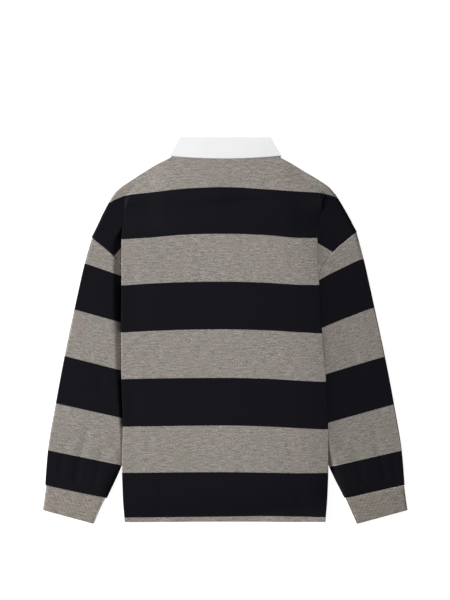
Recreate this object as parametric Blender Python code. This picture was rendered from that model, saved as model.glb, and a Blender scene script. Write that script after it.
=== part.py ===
"""A long-sleeved striped rugby shirt that lies flat on its front, with its back up.

Units are metres. +Z is up, the collar points along +Y, and the origin is at the bottom centre of the
garment's box. Tables hold millimetres: w is the distance from the centre line out to one side.
The back and the front lie on each other. At each side the body is creased, folded back under itself and
tucked once more above the armhole, because the sleeves are turned down, and the sleeves lie lowest.
"""

import math

import bpy
import numpy as np

MM = 0.001

# Cloth
WALL = 1.2  # heavy jersey, rib and twill
GAP = 0.3  # between two pieces or two layers
PITCH = WALL + GAP  # from one layer to the next
OUT = WALL + GAP / 2  # from the middle of two layers to their outer face
FLOOR_PAIR = OUT  # height of the middle of two layers that lie on the floor
FOLDED_TURN = 150  # degrees from which a fold lies on itself
ARC_SIDES = 3  # flats round a fold
ARC_SIDE = 2 * PITCH * math.tan(math.pi / (2 * (ARC_SIDES + 1)))
ARC_REACH = ARC_SIDE * math.cos(math.pi / (ARC_SIDES + 1))

# Body: one row for each level from the neck to the hem.
# y: height of the row; edge: shoulder outline, then armhole seam; crease: the fold that shows;
# tuck: the hidden fold, then the side seam; turn: degrees by which the cloth is folded there
ROW_FIELDS = ("y", "edge", "crease", "tuck", "turn")
LEFT_ROWS = (
    (342.4, 97.0, 84.0, 76.0, 0),
    (334.2, 103.0, 90.0, 82.0, 0),
    (317.8, 132.2, 118.0, 108.0, 0),
    (304.3, 154.2, 138.0, 128.0, 0),
    (289.0, 177.7, 160.0, 150.0, 0),
    (277.2, 195.6, 174.0, 164.0, 0),
    (266.7, 208.1, 183.0, 174.0, 0),
    (255.4, 216.6, 188.5, 180.0, 30),
    (243.8, 221.8, 191.4, 181.0, 90),
    (233.0, 227.2, 193.1, 179.0, 140),
    (221.8, 232.7, 194.5, 176.3, 176),
    (200.6, 243.1, 197.2, 169.3, 180),
    (178.9, 253.8, 199.4, 162.2, 180),
    (142.7, 212.9, 199.7, 150.5, 180),
    (97.0, 177.8, 199.7, 135.6, 180),
    (49.0, 141.1, 200.2, 119.8, 180),
    (1.0, 104.3, 200.8, 99.0, 180),
    (-37.4, 0.0, 200.4, 104.5, 180),
    (-104.6, 0.0, 199.5, 106.0, 180),
    (-181.4, 0.0, 198.1, 107.5, 180),
    (-261.7, 0.0, 197.9, 109.0, 180),
    (-315.8, 0.0, 196.1, 110.5, 180),
    (-366.7, 0.0, 192.0, 112.0, 180),
)
RIGHT_ROWS = (
    (342.4, 97.0, 84.0, 76.0, 0),
    (334.2, 103.0, 90.0, 82.0, 0),
    (320.3, 126.1, 112.0, 102.0, 0),
    (309.3, 144.2, 129.0, 119.0, 0),
    (298.6, 162.2, 146.0, 136.0, 0),
    (288.4, 179.3, 161.0, 151.0, 0),
    (274.2, 199.1, 177.0, 167.0, 0),
    (260.9, 210.2, 187.0, 178.0, 30),
    (250.9, 216.8, 188.1, 178.0, 90),
    (241.0, 222.7, 186.2, 174.0, 140),
    (231.4, 228.4, 184.0, 168.0, 176),
    (210.2, 240.1, 179.8, 158.0, 180),
    (189.3, 250.9, 176.7, 148.0, 180),
    (149.6, 205.8, 176.9, 136.0, 180),
    (102.7, 170.6, 179.1, 123.0, 180),
    (54.7, 134.7, 181.9, 108.0, 180),
    (4.8, 97.3, 184.9, 92.0, 180),
    (-37.4, 0.0, 188.2, 96.0, 180),
    (-104.6, 0.0, 193.4, 99.0, 180),
    (-181.4, 0.0, 196.9, 102.5, 180),
    (-263.4, 0.0, 196.8, 105.5, 180),
    (-315.8, 0.0, 194.8, 107.5, 180),
    (-366.7, 0.0, 191.0, 110.0, 180),
)
ARMHOLE_ROW = 12  # the row of the armhole seam's upper end
UNDERARM_ROW = 16  # the row where armhole, side seam and sleeve seam meet
RAMP = 50.0  # over which the body comes down from the folded sides
SLEEVE_RAMP = 30.0  # over which a folded side comes down from the sleeve below it
CLEAR = 2.0  # flat cloth kept beyond a fold below it

# Neck
NECK_HALF = 98.4
NECK_Y = LEFT_ROWS[0][0]
BACK_NECK_DROP = 4.8
FRONT_NECK_DROP = 72.2
FRONT_ROW_STEP = 5.5  # between front rows on the centre line, below the neckline
FIRST_STRAIGHT_ROW = 11
NECK_LIFT_W = (112.0, 152.0)  # flat to the first, on the floor from the second
NECK_LIFT_Y = (208.3, 165.0)

# Placket
PLACKET_HALF = 15.0
PLACKET_ROWS = 14

# Collar
COLLAR_TOP_Y = 371.1
COLLAR_TOP_HALF = 86.6
COLLAR_EDGE_Y = 335.0
COLLAR_EDGE_HALF = 105.4
COLLAR_MIDDLE_Y = 329.7
COLLAR_FRONT_TOP_Y = 295.0
COLLAR_POINT = (45.0, 219.8)
COLLAR_SPREAD = 1.15  # curve of the front edge from point to shoulder

# Corners of the neckline from a shoulder to the centre line, where the body's first row has its own
NECK_CORNERS = (
    NECK_HALF,
    *(LEFT_ROWS[0][3] - CLEAR - RAMP * part / 3 for part in range(4)),
    PLACKET_HALF + GAP,
    0.0,
)

# Sleeves: w and y of the outer crease, then of the underarm edge, ring by ring below the armhole seam
SLEEVE_FIELDS = ("outer_w", "outer_y", "inner_w", "inner_y")
LEFT_SLEEVE = (
    (268.0, 129.4, 112.0, -20.0),
    (288.0, 40.1, 128.0, -64.0),
    (306.6, -49.2, 147.0, -116.5),
    (323.1, -138.2, 170.5, -181.4),
    (338.7, -230.8, 199.7, -261.7),
    (344.1, -294.7, 227.3, -320.6),
)
RIGHT_SLEEVE = (
    (265.3, 136.3, 105.0, -15.0),
    (285.7, 44.5, 124.0, -65.0),
    (306.0, -50.3, 145.0, -119.5),
    (323.3, -141.1, 168.7, -181.4),
    (338.3, -231.9, 200.1, -263.4),
    (343.7, -296.4, 228.5, -321.2),
)

# Cuffs: w and y of the outer end, then of the inner end
LEFT_CUFF = (
    (343.0, -295.3, 229.0, -320.5),
    (345.6, -320.0, 239.6, -343.5),
    (349.1, -344.3, 252.7, -370.8),
)
RIGHT_CUFF = (
    (342.6, -296.9, 230.2, -321.1),
    (345.6, -320.6, 240.2, -343.5),
    (349.1, -344.3, 252.3, -370.8),
)


def ease(t):
    t = min(max(t, 0.0), 1.0)
    return t * t * (3 - 2 * t)


def neck_lift(w, y):
    """Height by which the front panel lies on the collar's front leaves and the neck follows it."""
    across = 1 - ease((abs(w) - NECK_LIFT_W[0]) / (NECK_LIFT_W[1] - NECK_LIFT_W[0]))
    along = 1 - ease((NECK_LIFT_Y[0] - y) / (NECK_LIFT_Y[0] - NECK_LIFT_Y[1]))
    return PITCH * across * along


def back_neck_drop(w):
    drops = [BACK_NECK_DROP * (1 - (n / NECK_HALF) ** 2) for n in NECK_CORNERS]
    return float(np.interp(abs(w), NECK_CORNERS[::-1], drops[::-1]))


def front_neck_drop(w):
    drops = [FRONT_NECK_DROP * math.sqrt(1 - (n / NECK_HALF) ** 2) for n in NECK_CORNERS]
    return float(np.interp(abs(w), NECK_CORNERS[::-1], drops[::-1]))


def sleeve_edge_w(y, underarm, sleeve):
    """Distance w of the sleeve's underarm edge at the level y, below the underarm point."""
    ws = [underarm["edge"]] + [ring["inner_w"] for ring in sleeve]
    ys = [underarm["y"]] + [ring["inner_y"] for ring in sleeve]
    return float(np.interp(-y, [-v for v in ys], ws))


def read_table(fields, table):
    return [dict(zip(fields, line)) for line in table]


def folded_section(row, sleeve_w, at_underarm):
    """One side's section in (w, z), from its outer end in to the foot of the ramp.

    It is the line midway between the two panels. Above the underarm it starts at the edge, runs in on the
    floor, turns up at the tuck, runs out, turns back at the crease and runs in on top.
    """
    turn = math.radians(row["turn"])
    bends = [turn * (k + 1) / (ARC_SIDES + 1) for k in range(ARC_SIDES)]
    run = 1.0
    if row["turn"] > FOLDED_TURN:
        run = row["crease"] - row["tuck"] - 2 * OUT - 2 * ARC_REACH
    steps = [(b, ARC_SIDE) for b in bends]
    steps += [(turn, run / 2), (turn, run / 2)]
    steps += [(b, ARC_SIDE) for b in reversed(bends)]
    points = [(0.0, 0.0)]
    for angle, length in steps:
        w, z = points[-1]
        points.append((w - length * math.cos(angle), z + length * math.sin(angle)))
    crease_part = points[ARC_SIDES + 2 :]
    shift = row["crease"] - OUT - max(w for w, z in crease_part)
    points = [(w + shift, z + FLOOR_PAIR) for w, z in points]

    top = points[-1][1]
    tuck_end, mid, crease_start = (w for w, z in points[ARC_SIDES : ARC_SIDES + 3])
    if at_underarm:
        mid = row["edge"] - CLEAR
        points[ARC_SIDES + 1] = (mid, points[ARC_SIDES + 1][1])
    if sleeve_w is None:
        heights = {"mid": top, "tuck": top}
    else:
        # Below the underarm the sleeve may end under the fold, which then comes down to the floor.
        def height(w):
            return FLOOR_PAIR + 2 * PITCH * (1 - ease((sleeve_w - CLEAR - w) / SLEEVE_RAMP))

        tuck_end = row["tuck"]
        mid = min(max(sleeve_w - CLEAR, tuck_end + 3), crease_start - 3)
        lowered = height(crease_start) - points[ARC_SIDES + 2][1]
        crease_arc = [(w, z + lowered) for w, z in points[ARC_SIDES + 3 :]]
        points = [(tuck_end - k, height(tuck_end)) for k in range(ARC_SIDES, 0, -1)] + [
            (tuck_end, height(tuck_end)),
            (mid, height(mid)),
            (crease_start, height(crease_start)),
        ]
        points += crease_arc
        heights = {"mid": height(mid) + 2 * PITCH, "tuck": height(tuck_end) + 2 * PITCH}
    start = (row["edge"], FLOOR_PAIR) if sleeve_w is None else (points[0][0] - 1, points[0][1])
    section = [start] + points
    flat_end = row["tuck"] - CLEAR
    if row["turn"] > FOLDED_TURN:
        section += [(mid, heights["mid"]), (tuck_end, heights["tuck"])]
    else:
        inner = points[-1][0]
        section += [(inner - (inner - flat_end) * part, top) for part in (0.3, 0.6)]
    edge_height = section[-1][1]
    section.append((flat_end, edge_height))
    for part in (1 / 3, 2 / 3, 1):
        z = edge_height + (FLOOR_PAIR - edge_height) * ease(part)
        section.append((flat_end - RAMP * part, z))
    return section


UNDER_STATIONS = 1 + ARC_SIDES  # from the edge to the end of the tuck's fold
SIDE_STATIONS = 1 + 2 * ARC_SIDES + 3 + 2 + 1 + 3  # of one folded section


def body_grid(front):
    """Places on the line midway between back and front: rows of (x, y, z), and their normals in XZ."""
    sides = []
    for rows, sleeve in ((LEFT_ROWS, LEFT_SLEEVE), (RIGHT_ROWS, RIGHT_SLEEVE)):
        rows = read_table(ROW_FIELDS, rows)
        sleeve = read_table(SLEEVE_FIELDS, sleeve)
        under = rows[UNDERARM_ROW]
        part = []
        for index, row in enumerate(rows):
            sleeve_w = sleeve_edge_w(row["y"], under, sleeve) if index > UNDERARM_ROW else None
            part.append((row["y"], folded_section(row, sleeve_w, index == UNDERARM_ROW)))
        sides.append(part)
    grid, normals = [], []
    for index in range(len(LEFT_ROWS)):
        (left_y, left), (right_y, right) = sides[0][index], sides[1][index]
        xs = [-w for w, z in left] + [-PLACKET_HALF - GAP, 0.0, PLACKET_HALF + GAP]
        xs += [w for w, z in reversed(right)]
        zs = [z for w, z in left] + [FLOOR_PAIR] * 3 + [z for w, z in reversed(right)]
        ys = []
        for place, x in enumerate(xs):
            across = (x + left[-1][0]) / (left[-1][0] + right[-1][0])
            y = left_y + (right_y - left_y) * min(max(across, 0.0), 1.0)
            if index == 0 and not front:
                y -= back_neck_drop(x) if abs(x) < NECK_HALF else 0.0
            if front and index < FIRST_STRAIGHT_ROW and abs(x) < NECK_HALF:
                y -= front_neck_drop(x) * front_bend(index, (left_y + right_y) / 2)
            ys.append(y)
        line = np.array([(x, y, z + neck_lift(x, y)) for x, y, z in zip(xs, ys, zs)])
        grid.append(line)
        normals.append(mitred_normals(line[:, [0, 2]]))
    return np.array(grid), np.array(normals)


def front_bend(index, level):
    """How much of the neckline's curve the front's row keeps, so that the rows stay in order."""
    lowest = NECK_Y - FRONT_NECK_DROP
    return (level - (lowest - FRONT_ROW_STEP * index)) / FRONT_NECK_DROP


def mitred_normals(line):
    """Normals to the left of a planar line, long enough at each corner to keep an even distance."""
    steps = np.diff(line, axis=0)
    steps /= np.linalg.norm(steps, axis=1)[:, None]
    sides = np.stack([-steps[:, 1], steps[:, 0]], axis=1)
    before = np.vstack([sides[:1], sides])
    after = np.vstack([sides, sides[-1:]])
    return (before + after) / (1 + (before * after).sum(axis=1))[:, None]


def make_material(name, color, roughness):
    material = bpy.data.materials.new(name)
    material.use_nodes = True
    shader = material.node_tree.nodes["Principled BSDF"]
    shader.inputs["Base Color"].default_value = (*color, 1.0)
    shader.inputs["Roughness"].default_value = roughness
    shader.inputs["Metallic"].default_value = 0.0
    return material


def make_slab(name, outer, inner, keep, material, closed=False):
    """A closed wall between two grids of points in millimetres. keep[r][c] says which cells exist."""
    rows, columns = outer.shape[:2]
    spans = columns if closed else columns - 1
    index = {}
    points = []

    def vertex(side, r, c):
        key = (side, r, c % columns)
        if key not in index:
            index[key] = len(points)
            points.append((outer if side == 0 else inner)[key[1], key[2]] * MM)
        return index[key]

    def rising(a, b):
        # Both layers of a fold are cut along the same diagonal in plan.
        return (b[0] - a[0]) * (b[1] - a[1]) > 0

    faces = []
    edges = {}
    for r in range(rows - 1):
        for c in range(spans):
            if not keep[r][c]:
                continue
            corners = [(r, c), (r + 1, c), (r + 1, c + 1), (r, c + 1)]
            first = rising(outer[r, c], outer[r + 1, (c + 1) % columns])
            for side in (0, 1):
                quad = [vertex(side, *corner) for corner in corners]
                cuts = ((0, 1, 2), (0, 2, 3)) if first else ((0, 1, 3), (1, 2, 3))
                for cut in cuts:
                    face = [quad[k] for k in cut]
                    faces.append(face if side == 0 else face[::-1])
            for a, b in zip(corners, corners[1:] + corners[:1]):
                a, b = (a[0], a[1] % columns), (b[0], b[1] % columns)
                if (b, a) in edges:
                    del edges[(b, a)]
                else:
                    edges[(a, b)] = True
    for a, b in edges:
        rim = [vertex(0, *b), vertex(0, *a), vertex(1, *a), vertex(1, *b)]
        faces.append([rim[0], rim[1], rim[2]])
        faces.append([rim[0], rim[2], rim[3]])

    mesh = bpy.data.meshes.new(name)
    mesh.from_pydata([tuple(p) for p in points], [], faces)
    mesh.materials.append(material)
    mesh.shade_smooth()
    mesh.set_sharp_from_angle(angle=math.radians(50))
    mesh.update()
    thing = bpy.data.objects.new(name, mesh)
    bpy.context.scene.collection.objects.link(thing)
    return thing


def offset_grid(grid, normals, distance):
    moved = grid.copy()
    moved[..., 0] += normals[..., 0] * distance
    moved[..., 2] += normals[..., 1] * distance
    return moved


def body_cells(front):
    """Which cells of the body's grid are cloth: no tuck below the underarm, no placket in its notch."""
    keep = np.ones((len(LEFT_ROWS) - 1, 2 * SIDE_STATIONS + 2), bool)
    keep[UNDERARM_ROW:, :UNDER_STATIONS] = False
    keep[UNDERARM_ROW:, -UNDER_STATIONS:] = False
    if front:
        keep[:PLACKET_ROWS, SIDE_STATIONS : SIDE_STATIONS + 2] = False
    return keep


def make_body(jersey):
    grid, normals = body_grid(front=False)
    top, under = offset_grid(grid, normals, OUT), offset_grid(grid, normals, GAP / 2)
    make_slab("back_panel", top, under, body_cells(front=False), jersey)
    grid, normals = body_grid(front=True)
    top, under = offset_grid(grid, normals, -GAP / 2), offset_grid(grid, normals, -OUT)
    make_slab("front_panel", top, under, body_cells(front=True), jersey)
    return grid


def make_placket(front_grid, jersey):
    """The strip that fills the notch, level with the front panel and as long as the notch."""
    strip = front_grid[: PLACKET_ROWS + 1, SIDE_STATIONS : SIDE_STATIONS + 3].copy()
    strip[:, 0, 0] += GAP
    strip[:, 2, 0] -= GAP
    strip[-1, :, 1] += GAP
    top, under = strip.copy(), strip.copy()
    top[..., 2] -= GAP / 2
    under[..., 2] -= OUT
    make_slab("placket", top, under, np.ones((PLACKET_ROWS, 2), bool), jersey)


def flat_tube(rings, level, radius):
    """Rings of a flattened tube round the given lines of (x, y): a flat top, two round edges, a flat base."""
    loops = []
    for line in rings:
        line = np.array(line)
        out = line[0] - line[1]
        out /= np.linalg.norm(out)
        back = line[-1] - line[-2]
        back /= np.linalg.norm(back)
        first, last = line[0] - out * OUT, line[-1] - back * OUT
        inside = [first, *line[1:-1], last]
        loop = [(*p, level + radius) for p in inside]
        for step in (1, 2, 3):
            angle = math.pi * step / 4
            spot = last + back * radius * math.sin(angle)
            loop.append((*spot, level + radius * math.cos(angle)))
        loop += [(*p, level - radius) for p in reversed(inside)]
        for step in (3, 2, 1):
            angle = math.pi * step / 4
            spot = first + out * radius * math.sin(angle)
            loop.append((*spot, level + radius * math.cos(angle)))
        loops.append(loop)
    return np.array(loops)


def make_tube(name, rings, material, left):
    """A closed wall with two open ends. Rings run from the outer edge in."""
    outer = flat_tube(rings, FLOOR_PAIR, OUT)
    inner = flat_tube(rings, FLOOR_PAIR, GAP / 2)
    if not left:
        outer, inner = outer[:, ::-1], inner[:, ::-1]
    keep = np.ones((len(rings) - 1, outer.shape[1]), bool)
    make_slab(name, outer, inner, keep, material, closed=True)


def across(start, end, parts):
    return [(start[0] + (end[0] - start[0]) * t, start[1] + (end[1] - start[1]) * t) for t in parts]


def make_sleeve(name, side, rows, table, jersey):
    rows = read_table(ROW_FIELDS, rows)
    seam = [np.array((side * r["edge"], r["y"])) for r in rows[ARMHOLE_ROW : UNDERARM_ROW + 1]]
    # The tube starts one gap below the seam, along the seam's own normals.
    steps = [b - a for a, b in zip(seam, seam[1:])]
    sides = [np.array((s[1], -s[0])) / np.linalg.norm(s) for s in steps]
    sides = [s if s[1] < 0 else -s for s in sides]
    firsts, lasts = [sides[0], *sides], [*sides, sides[-1]]
    start = [p + (a + b) / (1 + a @ b) * GAP for p, a, b in zip(seam, firsts, lasts)]
    whole = math.dist(start[0], start[-1])
    parts = [math.dist(start[0], p) / whole for p in start]
    rings = [start]
    for ring in read_table(SLEEVE_FIELDS, table):
        outer = (side * ring["outer_w"], ring["outer_y"])
        inner = (side * ring["inner_w"], ring["inner_y"])
        rings.append(across(outer, inner, parts))
    make_tube(name, rings, jersey, left=side < 0)


def make_cuff(name, side, table, rib):
    parts = (0, 0.33, 0.67, 1)
    rings = [across((side * a, b), (side * c, d), parts) for a, b, c, d in table]
    make_tube(name, rings, rib, left=side < 0)


def collar_half_width(y):
    """Half width at the level y of the line round which the collar's layers turn at a side."""
    slope = (COLLAR_EDGE_HALF - COLLAR_TOP_HALF) / (COLLAR_EDGE_Y - COLLAR_TOP_Y)
    return COLLAR_TOP_HALF + slope * (y - COLLAR_TOP_Y) - PITCH / 2 - PITCH - WALL / 2


def collar_profile(seam_y, top_y, edge_y):
    """The stand and the fall as a line of (y, distance from the neck's middle level), seam to edge."""
    radius = PITCH / 2
    side = 2 * radius * math.tan(math.pi / 8)
    bend_y = top_y - WALL / 2 - radius
    points = [(seam_y, radius), (bend_y, radius)]
    for angle in (45, 90, 135):
        y, r = points[-1]
        turn = math.radians(angle)
        points.append((y + side * math.cos(turn), r + side * math.sin(turn)))
    points.append((edge_y, points[-1][1]))
    return np.array(points)


def make_collar(twill):
    """One piece of twill round the neck: the back half lies above the middle level, the front below."""
    middle = FLOOR_PAIR + PITCH
    stations = []  # (side, part of the half width, degrees turned from back to front)
    parts = [w / NECK_HALF for w in NECK_CORNERS]
    stations += [(-1, part, 180) for part in reversed(parts)]
    stations += [(-1, 1.0, angle) for angle in (135, 90, 45)]
    stations += [(-1, part, 0) for part in parts]
    stations += [(1, part, 0) for part in reversed(parts[:-1])]
    stations += [(1, 1.0, angle) for angle in (45, 90, 135)]
    stations += [(1, part, 180) for part in parts]
    side_line = collar_profile(NECK_Y + 2 * GAP, COLLAR_TOP_Y, COLLAR_EDGE_Y)
    halves = [NECK_HALF, *(collar_half_width(y) for y, reach in side_line[1:])]
    outer, inner = [], []
    for side, part, angle in stations:
        depth = math.sqrt(max(0.0, 1 - part * part))
        front = angle == 180
        if front:
            seam_y = NECK_Y + 2 * GAP - front_neck_drop(part * NECK_HALF)
            top_y = COLLAR_TOP_Y - (COLLAR_TOP_Y - COLLAR_FRONT_TOP_Y) * depth
            edge_y = COLLAR_POINT[1] + (COLLAR_EDGE_Y - COLLAR_POINT[1]) * part**COLLAR_SPREAD
        else:
            seam_y = NECK_Y + 2 * GAP - back_neck_drop(part * NECK_HALF)
            top_y = COLLAR_TOP_Y
            edge_y = COLLAR_MIDDLE_Y + (COLLAR_EDGE_Y - COLLAR_MIDDLE_Y) * part**2
        line = collar_profile(seam_y, top_y, edge_y)
        normals = mitred_normals(line)
        for grid, distance in ((outer, WALL / 2), (inner, -WALL / 2)):
            column = []
            for k, (y, reach) in enumerate(line + normals * distance):
                w = part * halves[k]
                if front:
                    w = max(w, 2 * GAP)
                    if k == len(line) - 1:
                        w = COLLAR_POINT[0] + (halves[k] - COLLAR_POINT[0]) * part
                turned = math.radians(angle)
                x = side * (w + reach * math.sin(turned))
                column.append((x, y, middle + reach * math.cos(turned)))
            grid.append(column)
    outer, inner = np.array(outer), np.array(inner)
    keep = np.ones((len(stations) - 1, outer.shape[1] - 1), bool)
    make_slab("collar", outer, inner, keep, twill)


def main():
    for thing in list(bpy.data.objects):
        bpy.data.objects.remove(thing)
    jersey = make_material("striped_jersey", (0.155, 0.14, 0.13), 0.92)
    rib = make_material("cuff_rib", (0.25, 0.235, 0.215), 0.93)
    twill = make_material("collar_twill", (0.84, 0.84, 0.84), 0.85)
    front_grid = make_body(jersey)
    make_placket(front_grid, jersey)
    make_sleeve("sleeve_left", -1, LEFT_ROWS, LEFT_SLEEVE, jersey)
    make_sleeve("sleeve_right", 1, RIGHT_ROWS, RIGHT_SLEEVE, jersey)
    make_cuff("cuff_left", -1, LEFT_CUFF, rib)
    make_cuff("cuff_right", 1, RIGHT_CUFF, rib)
    make_collar(twill)


main()
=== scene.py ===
"""Looks of the long-sleeved striped rugby shirt that lies on its front, with its back up.

Every cloth is a fine shell on the form of its CAD solid: the same rows, folds and rings, with rounded
folds, loft and soft creases. Tables hold millimetres and degrees; w is the distance from the centre line.
"""
import math

import bpy
import numpy as np
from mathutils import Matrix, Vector


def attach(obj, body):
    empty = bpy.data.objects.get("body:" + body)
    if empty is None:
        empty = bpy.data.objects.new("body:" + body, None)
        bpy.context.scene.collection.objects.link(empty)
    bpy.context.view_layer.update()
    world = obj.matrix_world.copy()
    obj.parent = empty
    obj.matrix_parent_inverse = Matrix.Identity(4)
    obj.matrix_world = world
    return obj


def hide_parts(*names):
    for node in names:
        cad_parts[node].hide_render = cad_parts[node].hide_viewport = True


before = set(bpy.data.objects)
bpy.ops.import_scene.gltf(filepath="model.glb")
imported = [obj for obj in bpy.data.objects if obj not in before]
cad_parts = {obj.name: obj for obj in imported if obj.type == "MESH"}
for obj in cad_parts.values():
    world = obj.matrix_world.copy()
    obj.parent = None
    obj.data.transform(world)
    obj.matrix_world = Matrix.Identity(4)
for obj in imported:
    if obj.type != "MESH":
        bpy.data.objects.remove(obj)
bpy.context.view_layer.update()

MM = 0.001

# Cloth, as in the CAD part
WALL = 1.2
GAP = 0.3
PITCH = WALL + GAP
OUT = WALL + GAP / 2  # from the middle of two layers to their outer face
FLOOR_PAIR = OUT  # height of the middle of two layers that lie on the floor
RADIUS = PITCH  # of the middle of two layers round a tight fold

# Body, as in the CAD part but for small refits of the left edge: y, edge, crease, tuck
LEFT_ROWS = (
    (342.4, 97, 84, 76),
    (334.2, 103, 90, 82),
    (317.8, 132.2, 118, 108),
    (304.3, 154.2, 138, 128),
    (289, 178.1, 160, 150),
    (277.2, 195.6, 174, 164),
    (266.7, 207.5, 183, 174),
    (255.4, 216.1, 188.5, 180),
    (243.8, 221.8, 191.4, 181),
    (233, 227.5, 193.1, 179),
    (221.8, 233.2, 194.5, 176.3),
    (200.6, 243.1, 197.2, 169.3),
    (178.9, 253.8, 199.4, 162.2),
    (142.7, 212.9, 199.7, 150.5),
    (97, 177.8, 199.7, 135.6),
    (49, 141.1, 200.2, 119.8),
    (1, 104.3, 200.8, 99),
    (-37.4, 0, 200.4, 104.5),
    (-104.6, 0, 199.5, 106),
    (-181.4, 0, 198.1, 107.5),
    (-261.7, 0, 197.9, 109),
    (-315.8, 0, 196.1, 110.5),
    (-366.7, 0, 192, 112),
)
RIGHT_ROWS = (
    (342.4, 97, 84, 76),
    (334.2, 103, 90, 82),
    (320.3, 126.1, 112, 102),
    (309.3, 144.2, 129, 119),
    (298.6, 162.2, 146, 136),
    (288.4, 179.3, 161, 151),
    (274.2, 199.1, 177, 167),
    (260.9, 210.2, 187, 178),
    (250.9, 216.8, 188.1, 178),
    (241, 222.7, 186.2, 174),
    (231.4, 228.4, 184, 168),
    (210.2, 240.1, 179.8, 158),
    (189.3, 250.9, 176.7, 148),
    (149.6, 205.8, 176.9, 136),
    (102.7, 170.6, 179.1, 123),
    (54.7, 134.7, 181.9, 108),
    (4.8, 97.3, 184.9, 92),
    (-37.4, 0, 188.2, 96),
    (-104.6, 0, 193.4, 99),
    (-181.4, 0, 196.9, 102.5),
    (-263.4, 0, 196.8, 105.5),
    (-315.8, 0, 194.8, 107.5),
    (-366.7, 0, 191, 110),
)
# The turn of the fold in each row, then rows that matter
TURNS = (0,) * 7 + (30, 90, 140, 176) + (180,) * 12
ARMHOLE_ROW = 12
UNDERARM_ROW = 16
FRONT_RAMP = 50.0
SLEEVE_RAMP = 30.0
CLEAR = 2.0

# Neck, placket and collar, as in the CAD part but for the collar's half widths
NECK_HALF = 98.4
NECK_Y = LEFT_ROWS[0][0]
BACK_NECK_DROP = 4.8
FRONT_NECK_W = (0, 15.3, 24, 40.7, 57.3, 74, 98.4)
FRONT_NECK_DROP = (72.2, 71.3, 70, 65.8, 58.7, 47.6, 0)
FRONT_ROW_STEP = 5.5
NECK_LIFT_W = (112, 152)
NECK_LIFT_Y = (208.3, 165)
PLACKET_HALF = 15.0
PLACKET_END_ROW = 14
COLLAR_TOP_Y = 371.1
COLLAR_TOP_HALF = 87.2
COLLAR_EDGE_Y = 335.0
COLLAR_EDGE_HALF = 107.4
COLLAR_MIDDLE_Y = 329.7
COLLAR_FRONT_TOP_Y = 295.0
COLLAR_POINT = (45, 219.8)
COLLAR_SPREAD = 1.15
COLLAR_WRAP = 0.12  # how round the collar goes over at its sides

# Sleeves and cuffs, as in the CAD part but for the left sleeve's end and the left cuff's start: w and y of
# the outer crease, then of the underarm edge
LEFT_SLEEVE = (
    (268, 129.4, 112, -20),
    (288, 40.1, 128, -64),
    (306.6, -49.2, 147, -116.5),
    (323.1, -138.2, 170.5, -181.4),
    (338.7, -230.8, 199.7, -261.7),
    (344.1, -295.9, 227.3, -321.8),
)
RIGHT_SLEEVE = (
    (265.3, 136.3, 105, -15),
    (285.7, 44.5, 124, -65),
    (306, -50.3, 145, -119.5),
    (323.3, -141.1, 168.7, -181.4),
    (338.3, -231.9, 200.1, -263.4),
    (343.7, -296.4, 228.5, -321.2),
)
LEFT_CUFF = (
    (342.6, -296.5, 230.4, -321.6),
    (345.6, -320, 241, -343.4),
    (349.1, -344.3, 252.7, -370.8),
)
RIGHT_CUFF = (
    (342.6, -296.9, 230.2, -321.1),
    (345.6, -320.6, 240.2, -343.5),
    (349.1, -344.3, 252.3, -370.8),
)

# Stripes. Each band is one STRIPE long in cloth coordinates; even bands are dark.
STRIPE = 91.0
TOP_BAND = 85.0  # the most of a band above the arch
SLANT = 20.0  # the under layer's slant levels off this far in from the fold
TOP_ARCH = (
    (-221.6, 244.6), (-211.8, 250.2), (-201.8, 254.4), (-192, 258.2), (-144.6, 264.2), (-67.8, 272.6),
    (0, 274.9), (76.2, 270.7), (143.4, 265.9), (182, 263.6), (194.5, 260.9), (206.8, 257.5),
    (215.6, 252.7),
)
# y of the other boundaries at these places across the body
STRIPE_X = (-192, -144.6, -67.8, 0, 76.2, 143.4, 182)
BODY_STRIPES = (
    (174.7, 177.7, 183.8, 185.1, 182.6, 177.2, 176.9),
    (86.6, 90, 93, 93.8, 91.7, 87.7, 87.2),
    (-3.2, -0.8, 1.9, 2.5, 0.7, -3.3, -5.2),
    (-92.3, -91.3, -90.4, -90.1, -91.7, -95.6, -97.7),
    (-183.1, -182.7, -181.7, -181.3, -183.2, -186.6, -188.7),
    (-271.3, -271, -270.5, -270.4, -271.3, -272.4, -272.1),
    (-357.9, -357.8, -357.4, -356.6, -355.6, -356.4, -357.5),
)
# w and y of the first light stripe's upper edge outside the crease: near the crease, then at the armhole
UNDER_STRIPE_LEFT = ((201.2, 157.8), (212.9, 142.5))
UNDER_STRIPE_RIGHT = ((176.4, 167.8), (206.2, 149.6))
# w and y at the outer crease, then at the body's side
LEFT_SLEEVE_STRIPES = (
    ((268, 128.6), (200.8, 105.4)),
    ((288, 40.5), (200.8, 16.1)),
    ((306.6, -48.1), (202, -75.1)),
    ((323.1, -138.4), (198.7, -166.7)),
    ((338.7, -228.4), (199.7, -258)),
    ((344.1, -295.9), (227.3, -321.8)),
)
RIGHT_SLEEVE_STRIPES = (
    ((265.3, 137.6), (180.5, 96.7)),
    ((285.7, 43.5), (186.6, 5.6)),
    ((306, -50.3), (193.9, -83.3)),
    ((323.3, -141.6), (197.2, -176.2)),
    ((338.3, -230.6), (202, -261)),
    ((343.7, -296.4), (228.5, -321.2)),
)

NEVER = (900, 901)  # ys that the shirt doesn't reach

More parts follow.
